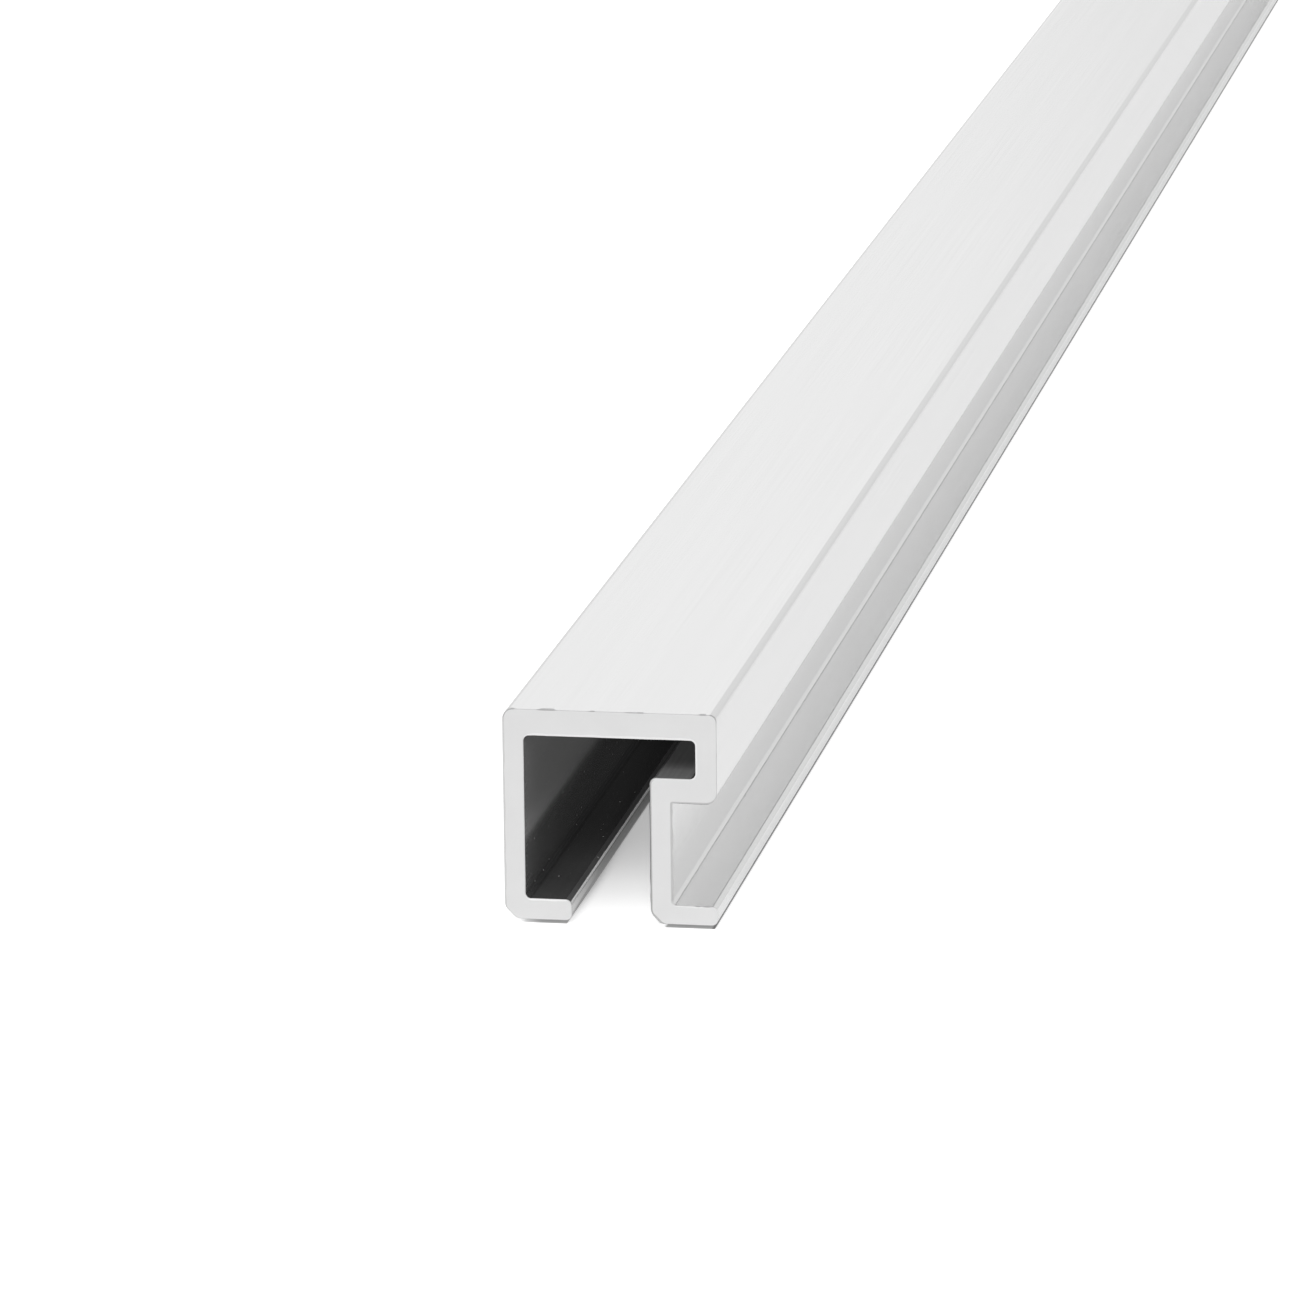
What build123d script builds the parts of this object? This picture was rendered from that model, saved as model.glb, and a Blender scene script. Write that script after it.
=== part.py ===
from build123d import *

import os

# Aluminium channel profile: one extruded bar, sawn square at its ends, lying on its lip
# and its foot. Millimetres, +Z up. The bar runs along Y, and the origin is on the floor
# under the middle of its length and width. Seen from the -Y end, the chamber opens
# downwards through a slot, and the panel groove opens to the right.

# Envelope
bar_length = 1000.0
section_width = 20.0
section_height = 20.0

# Wall thicknesses
top_plate = 2.5
back_wall = 2.0
pocket_wall = 2.0
shelf_plate = 2.2
leg_wall = 1.8
lip_plate = 2.0
foot_plate = 1.8

# Reach of the lip past the back wall, which leaves the slot open up to the leg
lip_reach = 4.35

# Panel groove in the side, and the pocket above the shelf
groove_depth = 4.35
pocket_height = 3.6

# Corners of the section
back_top_radius = 1.0
front_top_radius = 0.7
shelf_outer_radius = 1.0
shelf_inner_radius = 0.6
nose_radius = 0.6
heel_chamfer = 1.15
heel_rounding = 0.9
chamber_radius = 0.5
groove_floor_radius = 0.5
groove_roof_radius = 0.2

# A nose is rounded above and below, so each radius takes less than half of its plate
nose_limit_share = 0.45

# Edge broken by deburring the sawn ends
sawn_edge_break = 0.12

# Upright faces of the section, from the back wall to the front
back_x = -section_width / 2
chamber_x = back_x + back_wall
lip_x = chamber_x + lip_reach
front_x = section_width / 2
pocket_x = front_x - pocket_wall
groove_x = front_x - groove_depth
leg_x = groove_x - leg_wall

# Level faces of the section, from the top down
top_z = section_height
ceiling_z = top_z - top_plate
shelf_z = ceiling_z - pocket_height
groove_roof_z = shelf_z - shelf_plate

lip_nose_radius = min(nose_radius, lip_plate * nose_limit_share)
foot_nose_radius = min(nose_radius, foot_plate * nose_limit_share)

# Corners in order round the section, each with the radius that rounds it
section_corners = [
    # lip, from its chamfered heel to its nose beside the slot
    ((back_x, heel_chamfer), heel_rounding),
    ((back_x + heel_chamfer, 0), heel_rounding),
    ((lip_x, 0), lip_nose_radius),
    ((lip_x, lip_plate), lip_nose_radius),
    # chamber, and the pocket that it runs into above the shelf
    ((chamber_x, lip_plate), chamber_radius),
    ((chamber_x, ceiling_z), chamber_radius),
    ((pocket_x, ceiling_z), chamber_radius),
    ((pocket_x, shelf_z), chamber_radius),
    ((leg_x, shelf_z), shelf_inner_radius),
    # leg, with its own chamfered heel, and the foot
    ((leg_x, heel_chamfer), heel_rounding),
    ((leg_x + heel_chamfer, 0), heel_rounding),
    ((front_x, 0), foot_nose_radius),
    ((front_x, foot_plate), foot_nose_radius),
    # panel groove, from its floor up to the outer edge of the shelf
    ((groove_x, foot_plate), groove_floor_radius),
    ((groove_x, groove_roof_z), groove_roof_radius),
    ((front_x, groove_roof_z), shelf_outer_radius),
    # top plate
    ((front_x, top_z), front_top_radius),
    ((back_x, top_z), back_top_radius),
]

with BuildPart() as profile_bar:
    with BuildSketch(Plane.XZ) as section:
        with BuildLine():
            FilletPolyline(
                *[corner for corner, radius in section_corners],
                radius=[radius for corner, radius in section_corners],
                close=True,
            )
        make_face()
    extrude(amount=bar_length / 2, both=True)

    sawn_ends = profile_bar.faces().filter_by(Axis.Y)
    chamfer(sawn_ends.edges(), length=sawn_edge_break)

profile_bar.part.label = "profile_bar"

os.makedirs("parts", exist_ok=True)
export_step(profile_bar.part, "parts/profile_bar.step")

print("slot width:", round(leg_x - lip_x, 2), "mm")
print("section area:", round(section.sketch.area, 2), "mm2")
print("bar volume:", round(profile_bar.part.volume), "mm3")
print("faces:", len(profile_bar.faces()))
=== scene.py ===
import math

import bpy
import numpy as np
from mathutils import Matrix, Vector


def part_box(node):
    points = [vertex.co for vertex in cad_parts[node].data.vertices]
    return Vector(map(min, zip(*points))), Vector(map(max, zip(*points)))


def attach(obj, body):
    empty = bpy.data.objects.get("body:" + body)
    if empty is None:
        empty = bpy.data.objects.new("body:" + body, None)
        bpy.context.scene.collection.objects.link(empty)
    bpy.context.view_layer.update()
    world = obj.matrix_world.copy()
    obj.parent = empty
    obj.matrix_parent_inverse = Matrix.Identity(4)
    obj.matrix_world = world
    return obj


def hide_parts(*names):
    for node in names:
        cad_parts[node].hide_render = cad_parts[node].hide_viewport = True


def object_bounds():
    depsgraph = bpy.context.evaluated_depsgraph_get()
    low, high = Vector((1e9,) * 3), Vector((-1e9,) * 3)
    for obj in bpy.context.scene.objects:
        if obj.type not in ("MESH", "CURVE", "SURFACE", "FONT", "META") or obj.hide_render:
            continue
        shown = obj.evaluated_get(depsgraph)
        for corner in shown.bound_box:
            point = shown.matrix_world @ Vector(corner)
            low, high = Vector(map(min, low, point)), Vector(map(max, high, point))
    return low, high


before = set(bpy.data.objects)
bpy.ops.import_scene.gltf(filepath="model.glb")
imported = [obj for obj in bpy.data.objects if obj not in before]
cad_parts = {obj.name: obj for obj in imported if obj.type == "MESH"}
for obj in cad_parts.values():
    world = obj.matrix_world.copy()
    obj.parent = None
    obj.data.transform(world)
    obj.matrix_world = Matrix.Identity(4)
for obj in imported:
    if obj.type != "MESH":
        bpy.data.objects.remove(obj)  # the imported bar, in metres, near end at -Y
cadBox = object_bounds()
mm = 0.001
print("frame loaded:", sorted(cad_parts))

finishes = ["anodisedSkin", "sawnCut", "sawnEdge", "shadedChamber"]  # the bar's materials, in order


def metres(*lengths):
    return [mm * length for length in lengths]


# the section's own sizes in millimetres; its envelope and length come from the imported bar
section = {
    "topPlate": 2.5,
    "backWall": 2.0,
    "pocketWall": 2.0,
    "shelfPlate": 2.2,
    "legWall": 1.8,
    "lipPlate": 2.0,
    "footPlate": 1.8,
    "lipReach": 4.35,
    "grooveDepth": 4.35,
    "pocketHeight": 3.6,
    "backTopRadius": 1.0,
    "frontTopRadius": 0.7,
    "shelfOuterRadius": 1.0,
    "shelfInnerRadius": 0.6,
    "noseRadius": 0.6,
    "heelChamfer": 1.15,
    "heelRounding": 0.9,
    "chamberRadius": 0.5,
    "grooveFloorRadius": 0.5,
    "grooveRoofRadius": 0.2,
}


def sectionPlan(low, high):
    # the faces of the section, in metres, from its own sizes and the bar's box
    plan = {name: size * mm for name, size in section.items()}
    plan["back"], plan["front"], plan["top"] = low.x, high.x, high.z
    plan["chamber"] = plan["back"] + plan["backWall"]
    plan["lip"] = plan["chamber"] + plan["lipReach"]
    plan["pocket"] = plan["front"] - plan["pocketWall"]
    plan["groove"] = plan["front"] - plan["grooveDepth"]
    plan["leg"] = plan["groove"] - plan["legWall"]
    plan["ceiling"] = plan["top"] - plan["topPlate"]
    plan["shelf"] = plan["ceiling"] - plan["pocketHeight"]
    plan["roof"] = plan["shelf"] - plan["shelfPlate"]
    return plan


# each flat of the section: share of the chamber's painted shade tone, width that the saw broke off its edge
# and burr that it left there, both in mm, and how far that edge is bare metal, the rest dark from drag and
# painted shade
flats = {
    "lipHeel": (0, 0.06, 0, 0.3),
    "lipUnderside": (0, 0.04, 0, 0),
    "lipNose": (0, 0.08, 0, 0.3),
    "lipTop": (0.57, 0.20, 0, 1),
    "chamberBack": (1.5, 0.10, 0, 0.6),
    "ceiling": (1, 0.24, 0, 1),
    "pocketSide": (1, 0.18, 0, 1),
    "shelfTop": (1.65, 0.18, 0, 0.7),
    "legInside": (1, 0.20, 0.16, 0),
    "legHeel": (0, 0.28, 0.30, 0.1),
    "footUnderside": (0, 0.04, 0, 0),
    "footNose": (0, 0.05, 0, 0.6),
    "footTop": (0, 0.10, 0, 1),
    "grooveWall": (0, 0.20, 0.18, 0.25),
    "grooveRoof": (0, 0.20, 0.20, 0.25),
    "front": (0, 0.06, 0, 0.3),
    "top": (0, 0.03, 0, 0.3),
    "back": (0, 0.20, 0, 0.45),
}


def sectionCorners(plan):
    # the corners in order round the section, each named for the flat that follows it: across, up and
    # radius, and then the values of that flat
    heel, turn = plan["heelChamfer"], plan["heelRounding"]
    nose, inner = plan["noseRadius"], plan["chamberRadius"]
    corners = {
        "lipHeel": (plan["back"], heel, turn),
        "lipUnderside": (plan["back"] + heel, 0, turn),
        "lipNose": (plan["lip"], 0, nose),
        "lipTop": (plan["lip"], plan["lipPlate"], nose),
        "chamberBack": (plan["chamber"], plan["lipPlate"], inner),
        "ceiling": (plan["chamber"], plan["ceiling"], inner),
        "pocketSide": (plan["pocket"], plan["ceiling"], inner),
        "shelfTop": (plan["pocket"], plan["shelf"], inner),
        "legInside": (plan["leg"], plan["shelf"], plan["shelfInnerRadius"]),
        "legHeel": (plan["leg"], heel, turn),
        "footUnderside": (plan["leg"] + heel, 0, turn),
        "footNose": (plan["front"], 0, nose),
        "footTop": (plan["front"], plan["footPlate"], nose),
        "grooveWall": (plan["groove"], plan["footPlate"], plan["grooveFloorRadius"]),
        "grooveRoof": (plan["groove"], plan["roof"], plan["grooveRoofRadius"]),
        "front": (plan["front"], plan["roof"], plan["shelfOuterRadius"]),
        "top": (plan["front"], plan["top"], plan["frontTopRadius"]),
        "back": (plan["back"], plan["top"], plan["backTopRadius"]),
    }
    return np.array([(*corner, *flats[name]) for name, corner in corners.items()])


divisions = {
    "arcStep": 0.06,    # mm, longest step round a corner
    "runStep": 0.2,     # mm, and along a flat
    "lengthSteps": 30,  # along the bar
}


def roundedOutline(table):
    # a chain of arcs and flats, each with its bend (1 / radius, 0 on a flat): the point u along one is
    # start + lead * sin(bend * u) / bend + left * (1 - cos(bend * u)) / bend, and lead turns by bend * u
    corners, radii, paintedDark, breaks, burr, bare = table[:, :2], *table[:, 2:].T
    lead = corners - np.roll(corners, 1, axis=0)
    lead = lead / np.linalg.norm(lead, axis=1)[:, None]
    after = np.roll(lead, -1, axis=0)
    turn = np.arctan2(lead[:, 0] * after[:, 1] - lead[:, 1] * after[:, 0], (lead * after).sum(axis=1))
    trim = (radii * np.tan(np.abs(turn) / 2))[:, None]
    arcStart, arcEnd = corners - lead * trim, corners + after * trim
    flat = np.linalg.norm(np.roll(arcStart, -1, axis=0) - arcEnd, axis=1)

    def inTurn(onArc, onFlat):
        # the arcs' values and the flats', one after the other round the section
        return np.stack([onArc, onFlat], axis=1).reshape(-1, *onArc.shape[1:])

    start, lead = inTurn(arcStart, arcEnd), inTurn(lead, after)
    length = inTurn(radii * np.abs(turn), flat)
    longest = np.tile(metres(divisions["arcStep"], divisions["runStep"]), len(radii))
    steps = np.ceil(length / longest).astype(int)
    chain = np.repeat(np.arange(len(steps)), steps)
    share = (np.arange(steps.sum()) - np.repeat(np.cumsum(steps) - steps, steps)) / steps[chain]
    u = share * length[chain]

    bend = inTurn(np.sign(turn) / radii, np.zeros_like(radii))[chain]
    divisor = np.where(bend == 0, 1, bend)
    ahead = np.where(bend == 0, u, np.sin(divisor * u) / divisor)
    aside = np.where(bend == 0, 0, (1 - np.cos(divisor * u)) / divisor)
    left = np.stack([-lead[:, 1], lead[:, 0]], axis=1)
    heading = np.arctan2(lead[:, 1], lead[:, 0])[chain] + bend * u

    def carried(values):
        # a flat's own value, going over to the next flat's along the arc between them
        before = inTurn(np.roll(values, 1), values)[chain]
        return before + (inTurn(values, values)[chain] - before) * share

    return {
        "points": start[chain] + lead[chain] * ahead[:, None] + left[chain] * aside[:, None],
        "normals": np.stack([np.sin(heading), -np.cos(heading)], axis=1),
        "distance": np.append((np.cumsum(length) - length)[chain] + u, length.sum()),
        "inside": inTurn(np.minimum(paintedDark, np.roll(paintedDark, 1)), paintedDark)[chain] > 0,
        "hollow": bend < 0,
        "chamberShade": carried(paintedDark),
        "breaks": carried(breaks) * mm,
        "burr": carried(burr) * mm,
        "bare": carried(bare),
    }


def smoothRise(value, low, high):
    # 0 up to low, 1 from high on, and 3t^2 - 2t^3 between them
    t = np.clip((value - low) / (high - low), 0, 1)
    return t * t * (3 - 2 * t)


# how the saw left the ends, in millimetres
sawnEdge = {
    "wearWaves": 80,        # waves round the section that make the broken edge uneven
    "wearSpread": 0.3,      # and how much of its width they take or add
    # chips along the top from the back: middle, length, depth
    "topChips": [(0.6, 1.5, 0.022), (4.2, 1.9, 0.030), (8.4, 0.6, 0.014), (12.2, 1.6, 0.008),
                 (12.9, 0.8, 0.014), (18.7, 0.9, 0.022), (19.7, 0.9, 0.010)],
    # and along the foot from the groove's wall
    "footChips": [(2.5, 0.6, 0.13), (3.35, 0.9, 0.15)],
    "chipSlope": 0.5,       # share of a chip's half length over which it gets deep
    "topFade": (1.2, 0.4),  # how far below the top its chips set in, and are whole
    "footRise": 0.7,        # least rise of the normal where the foot has its chips
    "chipReach": 18.0,      # how far a chip of the top runs back along the bar, to its depth
    "chipFull": 0.015,      # a chip this deep keeps only these shares of its bare metal; the rest is dark, painted shade
    "topKeeps": 0.0,
    "footKeeps": 0.72,
    "bareShare": 0.4,       # depth to width of an edge that is bare metal; a dragged one is round
    "steps": 4,             # facets across the broken edge
    "settle": 0.9,          # from the cut to where the bar is plain again
    "seed": 7,
}

# what the nose of the lip shows, in millimetres down from the lip's top: a painted highlight, then painted
# shade
lipNose = {
    "filmTo": 0.25,            # the chamber's painted shade ends here, at a pale matt painted highlight
    "shadedFrom": (0.37, 0.47),    # where the highlight gives way to painted shade on the side
    "darkened": (1.15, 1.40),  # and where that painted shade deepens, over the floor
    "darken": 2.5,             # added to the painted shade there, which then comes closer to the cut
}

# a painted shade line on the top's rounded back edge, standing for a dimmer reflection: how far the
# rounding faces back and up where the shade sets in, and where it is whole
shadedEdgeLine = {
    "backward": (0.15, 0.5),
    "upward": (0.1, 0.4),
}


def sectionMasks(plan, ring):
    # where round the section each thing shows, by a point's place and the way it faces
    x, z = ring["points"].T
    across, up = ring["normals"].T
    below = plan["lipPlate"] - z
    low = z < plan["roof"]
    onNose = low & (x > plan["lip"] - plan["noseRadius"]) & (x < (plan["lip"] + plan["leg"]) / 2)
    side = onNose * smoothRise(below, *metres(*lipNose["shadedFrom"]))
    dark = onNose * smoothRise(below, *metres(*lipNose["darkened"]))
    edgeShade = smoothRise(-across, *shadedEdgeLine["backward"]) * smoothRise(up, *shadedEdgeLine["upward"])
    fadeStart, fadeEnd = metres(*sawnEdge["topFade"])
    return {
        "paintedDark": ring["inside"] | (onNose & (below < lipNose["filmTo"] * mm)),
        "chamberShade": np.where(onNose, 1, ring["chamberShade"] * np.where(ring["hollow"], chamberShade["hollowShare"], 1)),
        "noseShade": side + lipNose["darken"] * dark,
        "noseHighlight": onNose * (1 - side),
        "edgeShade": edgeShade * (z > plan["ceiling"]),
        "onTop": smoothRise(z, plan["top"] - fadeStart, plan["top"] - fadeEnd),
        "onFoot": low & (x > plan["groove"]) & (up > sawnEdge["footRise"]),
    }


def ripple(distance, waves, draws):
    # a sum of sines that closes on itself round the section, scaled to reach 1
    order = np.arange(1, waves + 1)[:, None]
    phase = draws.uniform(0, 2 * math.pi, (waves, 1))
    height = draws.normal(0, 1, (waves, 1))
    total = (height * np.sin(order * 2 * math.pi * distance[:-1] / distance[-1] + phase)).sum(axis=0)
    return total / np.abs(total).max()


def chipped(place, chips):
    # the deepest of the chips at each place: depth * smoothRise of how far inside the chip's length it is
    middle, length, depth = np.array(chips)[..., None].swapaxes(0, 1) * mm
    inside = 1 - np.abs(place - middle) / (length / 2)
    return (depth * smoothRise(inside, 0, sawnEdge["chipSlope"])).max(axis=0)


def sawnEnd(ring, masks, chips, draws):
    # the rings of one end, with t from the cut to the skin: inset into the section is
    # width * (1 - sin t) - burr, distance from the cut is depth * (1 - cos t), and the normal leans
    # back from the cut by the ellipse of width and depth
    t = np.linspace(0, math.pi / 2, sawnEdge["steps"] + 1)[:, None]
    kept = np.where(masks["onFoot"], sawnEdge["footKeeps"], sawnEdge["topKeeps"])
    bare = ring["bare"] * (1 + (kept - 1) * smoothRise(chips, 0, sawnEdge["chipFull"] * mm))
    wear = 1 + sawnEdge["wearSpread"] * ripple(ring["distance"], sawnEdge["wearWaves"], draws)
    width = ring["breaks"] * wear + chips
    depth = width * (1 + (sawnEdge["bareShare"] - 1) * bare)
    depth = depth + chips * (masks["onTop"] * sawnEdge["chipReach"])
    return {
        "inset": width * (1 - np.sin(t)) - ring["burr"] * wear,
        "away": depth * (1 - np.cos(t)),
        "lean": np.arctan2(-width * np.cos(t), depth * np.sin(t)),
        "bare": bare,
    }


def barGrid(low, high, ring, near, far):
    # the section carried along Y: each ring is outline - normal * inset at its own y, and its normals
    # are the section's own, turned along the bar by lean
    settle = sawnEdge["settle"] * mm
    straight = np.linspace(low.y + settle, high.y - settle, divisions["lengthSteps"] + 1)[:, None]
    plain = np.zeros((len(straight), len(ring["points"])))
    inset = np.concatenate([near["inset"], plain, far["inset"][::-1]])
    y = np.concatenate([low.y + near["away"], plain + straight, (high.y - far["away"])[::-1]])
    lean = np.concatenate([near["lean"], plain, -far["lean"][::-1]])
    place = ring["points"] - ring["normals"] * inset[..., None]
    verts = np.clip(np.stack([place[..., 0], y, place[..., 1]], axis=2), low, high)
    across, up = ring["normals"].T
    facing = np.stack([across * np.cos(lean), np.sin(lean), up * np.cos(lean)], axis=2)
    return verts, facing


def barMesh(ring, masks, verts, facing):
    # quads between neighbouring rings and one face over each cut; the UV map is in millimetres, with
    # the distance round the section and y, or x and z on the cuts
    rings, count = verts.shape[:2]
    row, col = np.meshgrid(np.arange(rings - 1), np.arange(count), indexing="ij")
    nextCol = (col + 1) % count
    quads = np.stack([row * count + col, (row + 1) * count + col,
                      (row + 1) * count + nextCol, row * count + nextCol], axis=2).reshape(-1, 4)
    nearCap = np.arange(count)
    farCap = ((rings - 1) * count + np.arange(count))[::-1]
    loopVerts = np.concatenate([quads.ravel(), nearCap, farCap])
    loopStarts = np.concatenate([np.arange(len(quads)) * 4, [len(quads) * 4, len(quads) * 4 + count]])

    broken = (row < sawnEdge["steps"]) | (row >= rings - 1 - sawnEdge["steps"])
    plain = np.where(masks["paintedDark"][col], finishes.index("shadedChamber"), finishes.index("anodisedSkin"))
    finish = np.where(broken, finishes.index("sawnEdge"), plain)
    finish = np.concatenate([finish.ravel(), [finishes.index("sawnCut")] * 2])

    flatVerts = verts.reshape(-1, 3)
    loopNormals = facing.reshape(-1, 3)[loopVerts]
    loopNormals[-2 * count:-count] = (0, -1, 0)
    loopNormals[-count:] = (0, 1, 0)
    here, there = ring["distance"][col], ring["distance"][col + 1]
    around = np.stack([here, here, there, there], axis=2).ravel()
    uv = np.stack([
        np.concatenate([around, flatVerts[nearCap, 0], flatVerts[farCap, 0]]),
        np.concatenate([flatVerts[quads.ravel(), 1], flatVerts[nearCap, 2], flatVerts[farCap, 2]]),
    ], axis=1)

    mesh = bpy.data.meshes.new("profileBar")
    mesh.vertices.add(len(flatVerts))
    mesh.vertices.foreach_set("co", flatVerts.astype(np.float32).ravel())
    mesh.loops.add(len(loopVerts))
    mesh.loops.foreach_set("vertex_index", loopVerts.astype(np.int32))
    mesh.polygons.add(len(loopStarts))
    mesh.polygons.foreach_set("loop_start", loopStarts.astype(np.int32))
    mesh.polygons.foreach_set("material_index", finish.astype(np.int32))
    mesh.update(calc_edges=True)
    mesh.polygons.foreach_set("use_smooth", np.ones(len(loopStarts), bool))
    mesh.uv_layers.new(name="sectionUV").data.foreach_set("uv", (uv / mm).astype(np.float32).ravel())
    for name in ("noseShade", "noseHighlight", "edgeShade", "chamberShade", "bare"):
        spread = np.broadcast_to(masks[name], (rings, count)).astype(np.float32)
        mesh.attributes.new(name, "FLOAT", "POINT").data.foreach_set("value", spread.ravel())
    mesh.normals_split_custom_set(loopNormals.astype(np.float32))
    print("bar built:", len(flatVerts), "points,", len(loopStarts), "faces")
    return mesh


def buildBar():
    # the rounded section, chipped and broken at its two cuts, in one mesh
    low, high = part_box("profile_bar")
    plan = sectionPlan(low, high)
    ring = roundedOutline(sectionCorners(plan))
    masks = sectionMasks(plan, ring)
    x = ring["points"][:, 0]
    footChips = masks["onFoot"] * chipped(x - plan["groove"], sawnEdge["footChips"])
    nearChips = masks["onTop"] * chipped(x - plan["back"], sawnEdge["topChips"]) + footChips
    farChips = masks["onTop"] * chipped(plan["front"] - x, sawnEdge["topChips"]) + footChips
    draws = np.random.default_rng(sawnEdge["seed"])
    near = sawnEnd(ring, masks, nearChips, draws)
    far = sawnEnd(ring, masks, farChips, draws)
    verts, facing = barGrid(low, high, ring, near, far)
    nearHalf = (np.arange(len(verts)) < len(verts) / 2)[:, None]
    masks["bare"] = np.where(nearHalf, near["bare"], far["bare"])
    piece = bpy.data.objects.new("profileBar", barMesh(ring, masks, verts, facing))
    bpy.context.scene.collection.objects.link(piece)
    return piece


def newGroup(name, inputs, outputs):
    # an empty shader group with its named sockets and the two end nodes
    group = bpy.data.node_groups.new(name, "ShaderNodeTree")
    for label, kind, value in inputs:
        socket = group.interface.new_socket(label, in_out="INPUT", socket_type=kind)
        if value is not None:
            socket.default_value = value
    for label, kind in outputs:
        group.interface.new_socket(label, in_out="OUTPUT", socket_type=kind)
    return group, group.nodes.new("NodeGroupInput"), group.nodes.new("NodeGroupOutput")


def newMaterial(name):
    material = bpy.data.materials.new(name)
    material.use_nodes = True
    material.node_tree.nodes.clear()
    return material, material.node_tree


def addNode(tree, kind, links=None, **settings):
    # a node with its settings, and its inputs given as name or number -> output socket or plain value
    node = tree.nodes.new(kind)
    for name, value in settings.items():
        setattr(node, name, value)
    for key, value in (links or {}).items():
        if isinstance(value, bpy.types.NodeSocket):
            tree.links.new(value, node.inputs[key])
        else:
            node.inputs[key].default_value = value
    return node


def calc(tree, operation, a, b):
    return addNode(tree, "ShaderNodeMath", {0: a, 1: b}, operation=operation).outputs[0]


def times(tree, product, *factors):
    for factor in factors:
        product = calc(tree, "MULTIPLY", product, factor)
    return product


def remap(tree, value, fromLow, fromHigh, toLow, toHigh, smooth=False):
    kind = "SMOOTHSTEP" if smooth else "LINEAR"
    return addNode(tree, "ShaderNodeMapRange", {0: value, 1: fromLow, 2: fromHigh, 3: toLow, 4: toHigh},
                   interpolation_type=kind).outputs[0]


def vary(tree, noise, level, spread, span=0.2):
    # level - spread to level + spread, as noise goes from span below a half to span above it
    return remap(tree, noise, 0.5 - span, 0.5 + span, level - spread, level + spread)


def blend(tree, share, first, second):
    # first where share is 0, second where it is 1
    return addNode(tree, "ShaderNodeMix", {0: share, 2: first, 3: second}, data_type="FLOAT").outputs[0]


def grey(tree, level):
    return addNode(tree, "ShaderNodeCombineColor", {0: level, 1: level, 2: level}).outputs[0]


def bump(tree, height, depth, **under):
    # relief of a depth in mm, on top of another one where Normal gives it
    return addNode(tree, "ShaderNodeBump", {
        "Strength": 1.0, "Distance": depth * mm, "Height": height, **under}).outputs[0]


def painted(tree, name):
    # one of the masks that barMesh leaves on the mesh
    return addNode(tree, "ShaderNodeAttribute", attribute_name=name).outputs["Fac"]


def placeOn(tree):
    return addNode(tree, "ShaderNodeTexCoord").outputs["Object"]


def sectionUv(tree):
    return addNode(tree, "ShaderNodeUVMap", uv_map="sectionUV").outputs[0]


def fromCut(tree, place):
    # how far a place lies behind the nearer of the two cuts: half the bar's length - |y|
    y = addNode(tree, "ShaderNodeSeparateXYZ", {0: place}).outputs["Y"]
    return calc(tree, "SUBTRACT", cadBox[1].y, calc(tree, "ABSOLUTE", y, 0.0))


def seenBy(tree):
    # two masks: rays straight from the camera, and rays by way of metal or glass
    path = addNode(tree, "ShaderNodeLightPath")
    mirrored = calc(tree, "MAXIMUM", path.outputs["Is Glossy Ray"], path.outputs["Is Transmission Ray"])
    return path.outputs["Is Camera Ray"], mirrored


def finishWith(tree, shader):
    tree.links.new(shader, addNode(tree, "ShaderNodeOutputMaterial").inputs[0])


def makeDieLines():
    # lengthwise lines left by the die: noise that changes fast round the section and hardly along it,
    # and wider bands of the same
    group, given, made = newGroup(
        "dieLines",
        [("UV", "NodeSocketVector", None),
         ("Run length mm", "NodeSocketFloat", 60.0),
         ("Lines per mm", "NodeSocketFloat", 6.0),
         ("Bands per mm", "NodeSocketFloat", 0.45),
         ("Bands per run", "NodeSocketFloat", 0.4)],
        [("Lines", "NodeSocketFloat"), ("Bands", "NodeSocketFloat")])
    split = addNode(group, "ShaderNodeSeparateXYZ", {0: given.outputs["UV"]})
    along = calc(group, "DIVIDE", split.outputs["Y"], given.outputs["Run length mm"])
    fine = addNode(group, "ShaderNodeCombineXYZ", {
        "X": times(group, split.outputs["X"], given.outputs["Lines per mm"]), "Y": along})
    lines = addNode(group, "ShaderNodeTexNoise", {
        "Vector": fine.outputs[0], "Scale": 1.0, "Detail": 3.0, "Roughness": 0.6}, noise_dimensions="2D")
    wide = addNode(group, "ShaderNodeCombineXYZ", {
        "X": times(group, split.outputs["X"], given.outputs["Bands per mm"]),
        "Y": times(group, along, given.outputs["Bands per run"])})
    bands = addNode(group, "ShaderNodeTexNoise", {
        "Vector": wide.outputs[0], "Scale": 1.0, "Detail": 2.0}, noise_dimensions="2D")
    group.links.new(lines.outputs["Fac"], made.inputs["Lines"])
    group.links.new(bands.outputs["Fac"], made.inputs["Bands"])
    return group


def makeSatinGrain():
    # the even pitting of etched metal, with a slow cloud in it: two sizes of noise in object space
    group, given, made = newGroup(
        "satinGrain",
        [("Vector", "NodeSocketVector", None),
         ("Grain mm", "NodeSocketFloat", 0.05),
         ("Cloud mm", "NodeSocketFloat", 2.5)],
        [("Grain", "NodeSocketFloat"), ("Cloud", "NodeSocketFloat")])
    fine = addNode(group, "ShaderNodeTexNoise", {
        "Vector": given.outputs["Vector"],
        "Scale": calc(group, "DIVIDE", 1 / mm, given.outputs["Grain mm"]),
        "Detail": 2.0, "Roughness": 0.7})
    cloud = addNode(group, "ShaderNodeTexNoise", {
        "Vector": given.outputs["Vector"],
        "Scale": calc(group, "DIVIDE", 1 / mm, given.outputs["Cloud mm"]),
        "Detail": 3.0})
    group.links.new(fine.outputs["Fac"], made.inputs["Grain"])
    group.links.new(cloud.outputs["Fac"], made.inputs["Cloud"])
    return group


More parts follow.
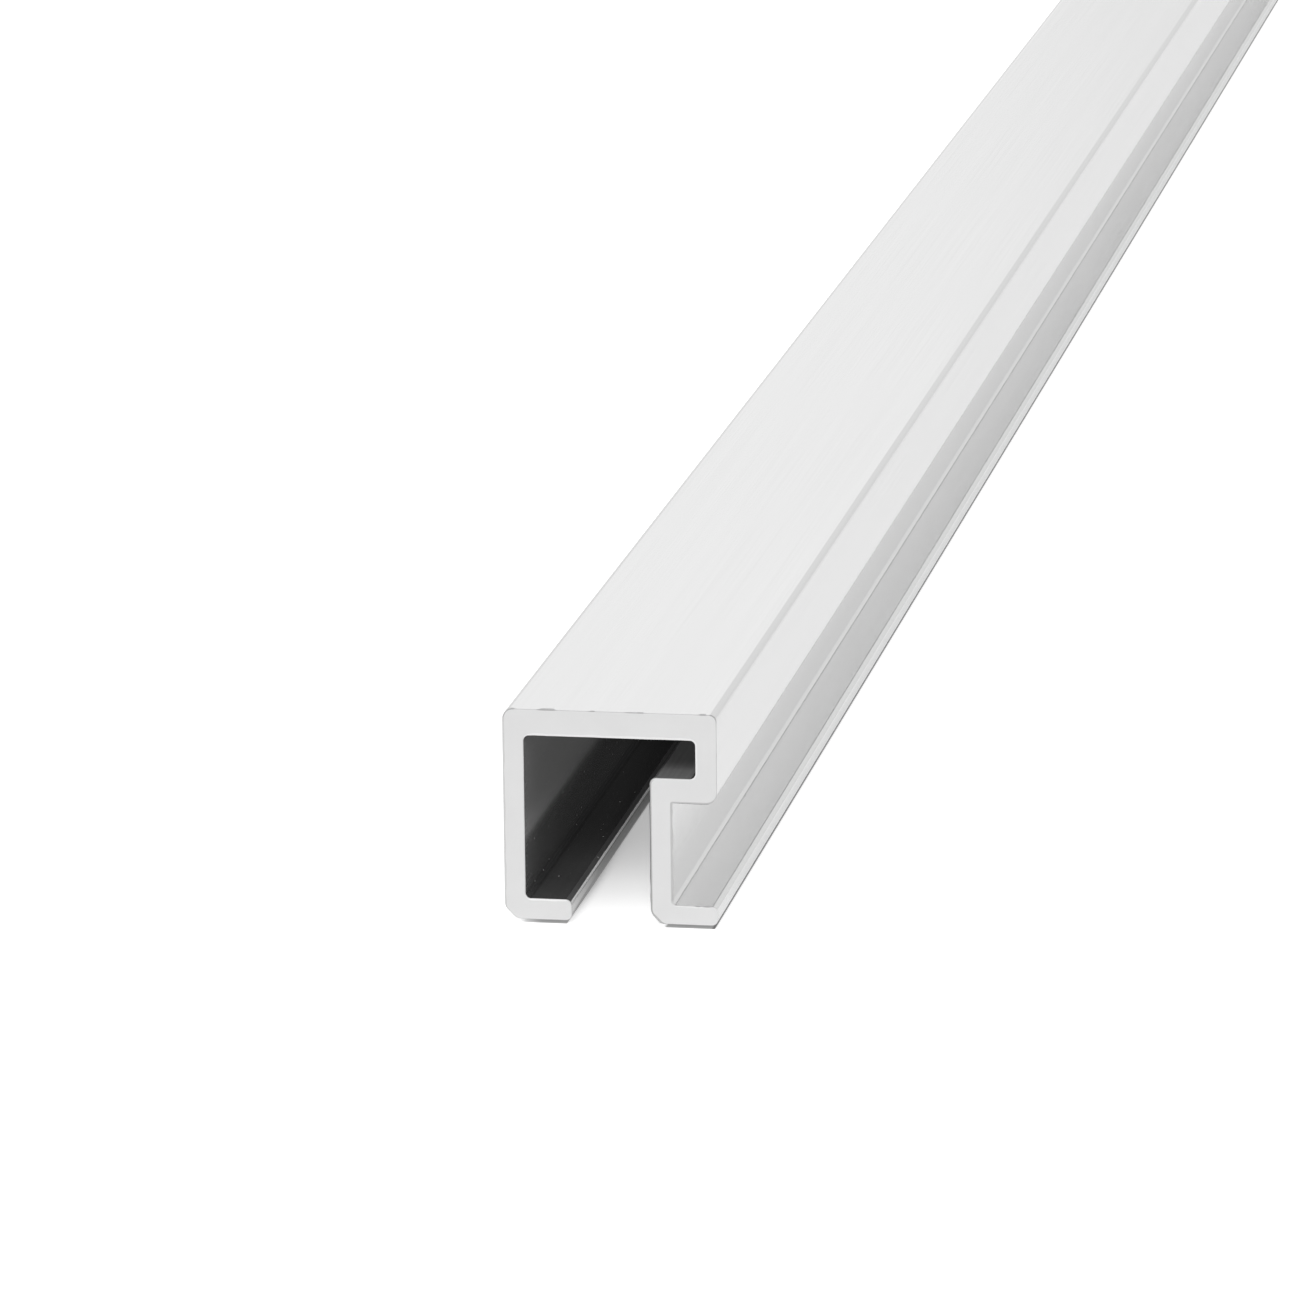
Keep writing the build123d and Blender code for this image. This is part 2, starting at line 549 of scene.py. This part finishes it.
skin = {
    "tone": 0.835,
    "toneSpread": 0.008,      # how much the die's bands lighten and darken the skin
    "edgeShadeShare": 0.75,        # share of the tone along the top's rounded back edge, a painted shade line
    "noseShadeTone": 0.15,         # painted shade on the nose of the lip, beside the slot
    "noseShadeAtCut": 0.15,        # how much of that painted shade is left at the cut, where light comes in
    "noseShadeReach": 14.0,        # mm behind the cut where it is all there
    "highlightTone": 0.96,          # a painted highlight above it, pale and matt
    "highlightMetal": 0.15,
    "highlightRoughness": 0.5,
    "roughness": 0.2,
    "roughnessSpread": 0.04,
    "roughnessSpan": 0.25,    # how far the lines' noise leaves a half where that is reached
    "lineDepth": 0.0003,      # relief of the die lines, mm
    "grainDepth": 0.0004,     # and of the grain
    "grainSize": 0.06,
}


def makeSkin(dieLines, satinGrain):
    # clear anodised skin, with the die's lines along it and an even grain; painted shade on the lip's nose
    # and the top's back edge, and a painted highlight above the nose
    material, tree = newMaterial("anodisedSkin")
    place = placeOn(tree)
    lines = addNode(tree, "ShaderNodeGroup", {"UV": sectionUv(tree)}, node_tree=dieLines)
    grain = addNode(tree, "ShaderNodeGroup", {"Vector": place, "Grain mm": skin["grainSize"]},
                    node_tree=satinGrain)
    behind = remap(tree, fromCut(tree, place), 0.0, skin["noseShadeReach"] * mm, skin["noseShadeAtCut"], 1.0)
    noseShade = calc(tree, "MINIMUM", times(tree, behind, painted(tree, "noseShade")), 1.0)
    noseHighlight = painted(tree, "noseHighlight")
    bands = vary(tree, lines.outputs["Bands"], 1.0, skin["toneSpread"])
    tone = blend(tree, noseHighlight, blend(tree, noseShade, skin["tone"], skin["noseShadeTone"]), skin["highlightTone"])
    tone = times(tree, bands, tone, blend(tree, painted(tree, "edgeShade"), 1.0, skin["edgeShadeShare"]))
    rough = vary(tree, lines.outputs["Lines"], skin["roughness"], skin["roughnessSpread"],
                 skin["roughnessSpan"])
    lined = bump(tree, lines.outputs["Lines"], skin["lineDepth"])
    shader = addNode(tree, "ShaderNodeBsdfPrincipled", {
        "Base Color": grey(tree, tone),
        "Metallic": blend(tree, noseHighlight, 1.0, skin["highlightMetal"]),
        "Roughness": blend(tree, noseHighlight, rough, skin["highlightRoughness"]),
        "Normal": bump(tree, grain.outputs["Grain"], skin["grainDepth"], Normal=lined)})
    finishWith(tree, shader.outputs[0])
    return material


# the chamber's dark tone is painted shade, darker in its hollow corners and lighter near the cut
chamberShade = {
    "tone": 0.090,
    "toneSpread": 0.06,
    "hollowShare": 0.6,       # share of the tone in the chamber's hollow corners, painted shade
    "cutLight": 1.35,          # and at the cut, painted light where light comes in
    "cutReach": 7.0,          # mm behind the cut where that has gone
    "gloss": 1.41,            # refraction of the film, which sets how much it mirrors
    "roughness": 0.09,
    "roughnessSpread": 0.02,
    "linesPerMm": 3.0,        # the die lines, wider and shorter than on the skin
    "lineRun": 25.0,          # mm
    "lineDepth": 0.0006,      # mm
    "speckTone": 0.4,         # chips and dust from the saw
    "speckCell": 0.8,         # mm, the cells that they are strewn in
    "speckShare": 0.2,        # share of the cells that have one
    "speckRadius": 0.16,      # of the largest, to a cell's width
}


def speckMask(tree, place):
    # a round spot in some of the cells of a cell pattern, chosen and sized by each cell's own colour
    scale = 1 / (chamberShade["speckCell"] * mm)
    cells = addNode(tree, "ShaderNodeTexVoronoi", {"Vector": place, "Scale": scale})
    split = addNode(tree, "ShaderNodeSeparateColor", {0: cells.outputs["Color"]})
    chosen = calc(tree, "LESS_THAN", split.outputs[0], chamberShade["speckShare"])
    radius = times(tree, chamberShade["speckRadius"], split.outputs[1])
    return times(tree, chosen, calc(tree, "LESS_THAN", cells.outputs["Distance"], radius))


def makeShadedChamber(dieLines):
    # the chamber's faces, painted dark as shade and lighter near the cut, with die lines and dust on them
    material, tree = newMaterial("shadedChamber")
    place = placeOn(tree)
    lines = addNode(tree, "ShaderNodeGroup", {
        "UV": sectionUv(tree), "Lines per mm": chamberShade["linesPerMm"], "Run length mm": chamberShade["lineRun"]},
        node_tree=dieLines)
    lift = remap(tree, fromCut(tree, place), 0.0, chamberShade["cutReach"] * mm, chamberShade["cutLight"], 1.0)
    tone = times(tree, vary(tree, lines.outputs["Lines"], 1.0, chamberShade["toneSpread"]), chamberShade["tone"],
                 times(tree, painted(tree, "chamberShade"), lift))
    shader = addNode(tree, "ShaderNodeBsdfPrincipled", {
        "Base Color": grey(tree, blend(tree, speckMask(tree, place), tone, chamberShade["speckTone"])),
        "Roughness": vary(tree, lines.outputs["Bands"], chamberShade["roughness"], chamberShade["roughnessSpread"]),
        "IOR": chamberShade["gloss"],
        "Normal": bump(tree, lines.outputs["Lines"], chamberShade["lineDepth"])})
    finishWith(tree, shader.outputs[0])
    return material


cut = {
    "tone": 0.838,
    "toneSpread": 0.012,
    "roughness": 0.45,
    "roughnessSpread": 0.04,
    "grainSize": 0.09,        # mm
    "cloudSize": 3.0,         # mm
    "bladeCentre": (-70.0, 0.0, -95.0),  # mm from the bar's own origin
    "markPitch": 0.35,        # spacing of the saw marks, mm
    "markDepth": 0.0006,      # mm
}


def makeSawnCut(satinGrain):
    # the blade's arcs: noise on the distance from the blade's centre, broken up by the grain's cloud
    material, tree = newMaterial("sawnCut")
    place = placeOn(tree)
    grain = addNode(tree, "ShaderNodeGroup", {
        "Vector": place, "Grain mm": cut["grainSize"], "Cloud mm": cut["cloudSize"]},
        node_tree=satinGrain)
    away = addNode(tree, "ShaderNodeVectorMath", {0: place, 1: metres(*cut["bladeCentre"])},
                   operation="SUBTRACT")
    flat = addNode(tree, "ShaderNodeVectorMath", {0: away.outputs[0], 1: (1, 0, 1)}, operation="MULTIPLY")
    reach = addNode(tree, "ShaderNodeVectorMath", {0: flat.outputs[0]}, operation="LENGTH")
    marks = addNode(tree, "ShaderNodeTexNoise", {
        "W": calc(tree, "DIVIDE", reach.outputs["Value"], cut["markPitch"] * mm),
        "Scale": 1.0, "Detail": 2.0}, noise_dimensions="1D")
    tone = times(tree, vary(tree, grain.outputs["Cloud"], 1.0, cut["toneSpread"]), cut["tone"])
    height = times(tree, marks.outputs["Fac"], grain.outputs["Cloud"])
    shader = addNode(tree, "ShaderNodeBsdfPrincipled", {
        "Base Color": grey(tree, tone),
        "Metallic": 1.0,
        "Roughness": vary(tree, grain.outputs["Grain"], cut["roughness"], cut["roughnessSpread"]),
        "Normal": bump(tree, height, cut["markDepth"])})
    finishWith(tree, shader.outputs[0])
    return material


edgeMetal = {
    "dragAndShadeTone": 0.50,         # dark: where the saw dragged the skin over, and painted shade along edges and in chips
    "bareTone": 0.96,         # where it left bare metal
    "toneSpread": 0.06,
    "roughness": 0.3,
    "grainSize": 0.08,        # mm
}


def makeEdgeMetal(satinGrain):
    # the narrow rounded edge between the skin and the cut, dark in places from drag and painted shade, bare
    # in others
    material, tree = newMaterial("sawnEdge")
    grain = addNode(tree, "ShaderNodeGroup", {"Vector": placeOn(tree), "Grain mm": edgeMetal["grainSize"]},
                    node_tree=satinGrain)
    spread = vary(tree, grain.outputs["Grain"], 1.0, edgeMetal["toneSpread"])
    tone = blend(tree, painted(tree, "bare"), edgeMetal["dragAndShadeTone"], edgeMetal["bareTone"])
    shader = addNode(tree, "ShaderNodeBsdfPrincipled", {
        "Base Color": grey(tree, times(tree, spread, tone)),
        "Metallic": 1.0,
        "Roughness": edgeMetal["roughness"]})
    finishWith(tree, shader.outputs[0])
    return material


# where the camera stood, found from the edges in the photo
camera = {
    "frameSize": 1300,
    "markPixel": (504.75, 918.05),  # the bar's lower back corner at the near end
    "markDepth": 0.70806,           # metres from the camera to that corner, along the view
    "azimuth": 10.085,              # degrees, as the next two
    "elevation": 13.785,
    "roll": -0.615,
    "focalPixels": 7656.2,
    "sensorWidth": 36,
    "clip": (0.01, 60),             # metres
}


def placeCamera():
    # the view's axes come from its three angles, and its place from where the mark lies in the frame
    low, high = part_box("profile_bar")
    a, e, r = (math.radians(camera[key]) for key in ("azimuth", "elevation", "roll"))
    forward = Vector((-math.sin(a) * math.cos(e), math.cos(a) * math.cos(e), -math.sin(e)))
    level = Vector((math.cos(a), math.sin(a), 0))
    upright = level.cross(forward)
    right = level * math.cos(r) + upright * math.sin(r)
    up = upright * math.cos(r) - level * math.sin(r)
    middle = camera["frameSize"] / 2
    across, down = ((pixel - middle) / camera["focalPixels"] * camera["markDepth"]
                    for pixel in camera["markPixel"])
    place = low - right * across + up * down - forward * camera["markDepth"]
    data = bpy.data.cameras.new("camera")
    data.sensor_width = camera["sensorWidth"]
    data.lens = camera["focalPixels"] / camera["frameSize"] * data.sensor_width
    data.clip_start, data.clip_end = camera["clip"]
    eye = bpy.data.objects.new("camera", data)
    turned = Matrix((right, up, -forward)).transposed().to_4x4()
    eye.matrix_world = Matrix.Translation(place) @ turned
    bpy.context.scene.collection.objects.link(eye)
    bpy.context.scene.camera = eye
    print("camera placed at", [round(v, 4) for v in place], "lens", round(data.lens, 2))


# lengths in millimetres, apart from the floor's own
paleFloor = {
    "halfSide": 12.0,             # metres
    "tone": 0.75,
    "drop": 0.34,                 # under the bar, where a thin dark line shows
    "glow": 0.62,                 # added to what the camera sees of the floor, so that it ends in white
    "sheen": 0.285,               # and to what metal sees of it
    "frontSheen": 1.10,           # share of the sheen close in front of the cut
    "frontReach": 60.0,
    "farSheen": 0.90,             # beside the far part of the bar
    "farReach": (20.0, 400.0),    # behind the cut
    "besideSheen": 0.78,          # and close beside the bar
    "besideReach": 6.0,
    "sheenEdge": 2.0,             # behind the cut, from the sheen in front to that beside the bar
    "gapGlow": 0.33,              # share of all the floor's light that is left under the lip and the foot
    "gapEdge": 0.2,               # behind the cut, over which the gap sets in
    "heelFade": (0.1, 0.8, 2.2),  # in from the lip's heel: light whole, at heelGlow and at gapGlow
    "heelGlow": 0.57,
    "noseEdge": (0.03, 0.15),     # past the flat under the lip: light at gapGlow, and whole
    "footEdge": 0.15,             # before and after the start of the foot's flat: whole, and at gapGlow
    "touchGlow": 0.15,            # share along the foot's outer side
    "touchEdge": (0.7, 0.5, 0.38, 0.24),  # in from that side: gapGlow, touchGlow from and to, whole
    "slotGlow": 0.54,             # share inside the slot
    "slotReach": (0, 16),         # behind the cut, over which it falls to that
    "noseGlow": 0.82,             # share of it along the nose of the lip
    "noseFade": (1.5, 4.5),       # past the flat under the lip, where that is half gone and gone
    "noseFrom": 2.0,              # behind the cut, from where it grows over the slot's reach
}


def floorShares(tree, plan, x, behind):
    # two shares of the floor's light, painted shadow from a ramp across the bar: how open the floor is,
    # little under the lip and the foot and 1 elsewhere, and how bright the slot leaves it, less the deeper
    # it lies
    heel, foot = plan["back"] + plan["heelChamfer"], plan["leg"] + plan["heelChamfer"]
    under, front = plan["lip"] - plan["noseRadius"], plan["front"]
    gap, touch, nose = paleFloor["gapGlow"], paleFloor["touchGlow"], paleFloor["noseGlow"]
    heelStart, heelMiddle, heelEnd = metres(*paleFloor["heelFade"])
    noseStart, noseEnd = metres(*paleFloor["noseEdge"])
    halfFade, fullFade = metres(*paleFloor["noseFade"])
    touchGap, touchStart, touchEnd, touchOpen = metres(*paleFloor["touchEdge"])
    near, deep = metres(*paleFloor["slotReach"])
    footEdge, gapEdge, noseFrom = metres(*(paleFloor[key] for key in ("footEdge", "gapEdge", "noseFrom")))
    stops = [  # place, how open it is, whether it is in the slot, and what the nose leaves of it there
        (heel + heelStart, 1, 0, 1),
        (heel + heelMiddle, paleFloor["heelGlow"], 0, 1),
        (heel + heelEnd, gap, 0, 1),
        (under + noseStart, gap, 1, nose),
        (under + noseEnd, 1, 1, nose),
        (under + halfFade, 1, 1, (1 + nose) / 2),
        (under + fullFade, 1, 1, 1),
        (foot - footEdge, 1, 1, 1),
        (foot + footEdge, gap, 0, 1),
        (front - touchGap, gap, 0, 1),
        (front - touchStart, touch, 0, 1),
        (front - touchEnd, touch, 0, 1),
        (front - touchOpen, 1, 0, 1),
    ]
    across = addNode(tree, "ShaderNodeValToRGB", {0: remap(tree, x, plan["back"], front, 0.0, 1.0)})
    ramp = across.color_ramp
    while len(ramp.elements) < len(stops):
        ramp.elements.new(0.5)
    for element, (edge, *levels) in zip(ramp.elements, stops):
        element.position = (edge - plan["back"]) / (front - plan["back"])
        element.color = (*levels, 1)
    bare, slot, side = addNode(tree, "ShaderNodeSeparateColor", {0: across.outputs["Color"]}).outputs[:3]
    below = remap(tree, behind, 0.0, gapEdge, 0.0, 1.0)
    shade = times(tree, remap(tree, behind, near, deep, 1.0, paleFloor["slotGlow"], smooth=True),
                  blend(tree, remap(tree, behind, noseFrom, deep, 0.0, 1.0), 1.0, side))
    return blend(tree, below, 1.0, bare), blend(tree, slot, 1.0, shade)


def floorSheen(tree, plan, x, behind):
    # painted light and shade in what metal sees of the floor: more in front of the cut, less near the bar
    # and far along it
    frontReach, besideReach, edge = metres(*(paleFloor[key] for key in (
        "frontReach", "besideReach", "sheenEdge")))
    farStart, farEnd = metres(*paleFloor["farReach"])
    front = remap(tree, behind, -frontReach, 0.0, 1.0, paleFloor["frontSheen"], smooth=True)
    along = remap(tree, behind, farStart, farEnd, 1.0, paleFloor["farSheen"])
    beside = remap(tree, calc(tree, "ABSOLUTE", x, 0.0), plan["front"], plan["front"] + besideReach,
                   paleFloor["besideSheen"], 1.0)
    alongside = remap(tree, behind, 0.0, edge, 0.0, 1.0)
    share = blend(tree, alongside, front, times(tree, along, beside))
    return times(tree, share, paleFloor["sheen"])


def buildFloor():
    # a matt floor with painted shadow under the bar and in the slot, and a glow that only the camera and
    # metal see
    low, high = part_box("profile_bar")
    r, z = paleFloor["halfSide"], -paleFloor["drop"] * mm
    mesh = bpy.data.meshes.new("floor")
    mesh.from_pydata([(-r, -r, z), (r, -r, z), (r, r, z), (-r, r, z)], [], [(0, 1, 2, 3)])
    floor = bpy.data.objects.new("floor", mesh)
    bpy.context.scene.collection.objects.link(floor)
    material, tree = newMaterial("paleFloor")
    place = placeOn(tree)
    x = addNode(tree, "ShaderNodeSeparateXYZ", {0: place}).outputs["X"]
    behind = fromCut(tree, place)
    plan = sectionPlan(low, high)
    bare, shade = floorShares(tree, plan, x, behind)
    straight, mirrored = seenBy(tree)
    glow = calc(tree, "ADD", times(tree, straight, paleFloor["glow"]),
                times(tree, mirrored, floorSheen(tree, plan, x, behind)))
    matt = addNode(tree, "ShaderNodeBsdfDiffuse", {
        "Color": grey(tree, times(tree, bare, paleFloor["tone"]))})
    lit = addNode(tree, "ShaderNodeEmission", {
        "Color": (1, 1, 1, 1), "Strength": times(tree, glow, bare, shade)})
    both = addNode(tree, "ShaderNodeAddShader", {0: matt.outputs[0], 1: lit.outputs[0]})
    finishWith(tree, both.outputs[0])
    mesh.materials.append(material)


# the sky that metal sees; each band is in one part of the direction to it, and runs from 1 to its share
studioSky = {
    "horizon": 0.90,
    "level": 0.98,
    "levelFrom": 0.28,             # up, about 16 degrees above the horizon
    "overhead": 0.45,              # share straight above
    "overheadBand": (0.45, 0.9),   # up
    "grooveSide": 0.82,            # share on the groove's side
    "grooveBand": (-0.15, -0.05),  # across
    "front": 1.15,                 # share behind the camera
    "frontBand": (0.0, -0.5),      # along
    "fill": 0.25,                  # even light for matt surfaces
}


def buildSky():
    # white to the camera; to metal it dims at the horizon, straight overhead and on the groove's side
    world = bpy.data.worlds.new("studio")
    bpy.context.scene.world = world
    world.use_nodes = True
    tree = world.node_tree
    tree.nodes.clear()
    way = addNode(tree, "ShaderNodeTexCoord").outputs["Generated"]
    x, y, z = addNode(tree, "ShaderNodeSeparateXYZ", {0: way}).outputs
    sky = remap(tree, z, 0.0, studioSky["levelFrom"], studioSky["horizon"], studioSky["level"], smooth=True)
    over = remap(tree, z, *studioSky["overheadBand"], 1.0, studioSky["overhead"], smooth=True)
    side = remap(tree, x, *studioSky["grooveBand"], 1.0, studioSky["grooveSide"], smooth=True)
    front = remap(tree, y, *studioSky["frontBand"], 1.0, studioSky["front"], smooth=True)
    sky = times(tree, times(tree, sky, over), times(tree, side, front))
    straight, mirrored = seenBy(tree)
    level = blend(tree, mirrored, studioSky["fill"], sky)
    level = blend(tree, straight, level, 1.0)
    back = addNode(tree, "ShaderNodeBackground", {"Color": (1, 1, 1, 1), "Strength": level})
    tree.links.new(back.outputs[0], addNode(tree, "ShaderNodeOutputWorld").inputs[0])


# soft lamps in front of the near end, in degrees; the eye lamp is beside the camera, into the chamber
lamps = {
    "frontLamp": {"light": 1.6, "side": 0.0, "height": 40.0, "softness": 24.0},
    "eyeLamp": {"light": 3.2, "side": 8.0, "height": 12.5, "softness": 6.0},
}


def hangLamps():
    for name, lamp in lamps.items():
        data = bpy.data.lights.new(name, "SUN")
        data.energy = lamp["light"]
        data.angle = math.radians(lamp["softness"])
        side, height = math.radians(lamp["side"]), math.radians(lamp["height"])
        toLamp = Vector((math.sin(side) * math.cos(height), -math.cos(side) * math.cos(height),
                         math.sin(height)))
        hung = bpy.data.objects.new(name, data)
        hung.rotation_euler = toLamp.to_track_quat("Z", "Y").to_euler()
        hung.visible_glossy = False  # metal shows the sky and the floor alone
        bpy.context.scene.collection.objects.link(hung)


placeCamera()
buildFloor()
buildSky()
hangLamps()
print("studio lit")

piece = buildBar()
dieLines, satinGrain = makeDieLines(), makeSatinGrain()
made = [
    makeSkin(dieLines, satinGrain),
    makeSawnCut(satinGrain),
    makeEdgeMetal(satinGrain),
    makeShadedChamber(dieLines),
]
for name in finishes:
    piece.data.materials.append(next(m for m in made if m.name == name))
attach(piece, "root")
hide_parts("profile_bar")
print("bar finished")

bpy.context.scene.view_settings.view_transform = "Standard"
